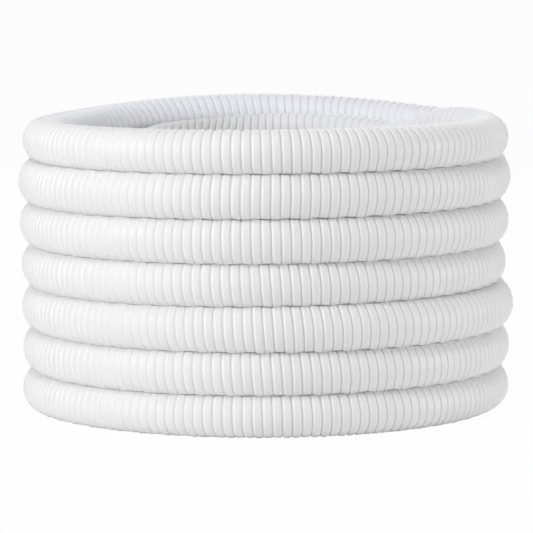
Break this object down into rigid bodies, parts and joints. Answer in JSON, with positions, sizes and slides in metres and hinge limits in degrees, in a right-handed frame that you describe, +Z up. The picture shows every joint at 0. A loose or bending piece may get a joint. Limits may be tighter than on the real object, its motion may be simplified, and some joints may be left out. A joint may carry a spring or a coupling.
{
  "type": "pool vacuum hose",
  "caption": "Coiled ribbed pool vacuum hose with a fixed cuff on one end and a swivel cuff on the other.",
  "frame": {"origin": "on the floor under the middle of the coil", "axes": "+Z up along the coil's axis, the front of the coil faces -Y, +X to the right of someone looking along +Y"},
  "size_m": [0.5317, 0.532, 0.3241],
  "materials": {
    "hose_white": "flexible ribbed EVA/PE wall, semi-gloss",
    "cuff_white": "moulded, smooth semi-gloss",
    "bearing_white": "acetal, smooth and slippery",
    "seal_black": "matt"
  },
  "bodies": {
    "coil": {"hose": "hose_white", "fixed_cuff": "cuff_white", "swivel_collar": "cuff_white", "swivel_gasket": "seal_black", "swivel_thrust_washer": "bearing_white"},
    "swivel": {"swivel_cuff": "cuff_white", "swivel_retaining_ring": "bearing_white"}
  },
  "joints": [
    {"name": "swivel_turn", "type": "hinge", "parent": "coil", "child": "swivel", "pos_m": [-0.14352, -0.0242, 0.13227], "axis": [0.2263, -0.6554, -0.7206], "continuous": true}
  ]
}
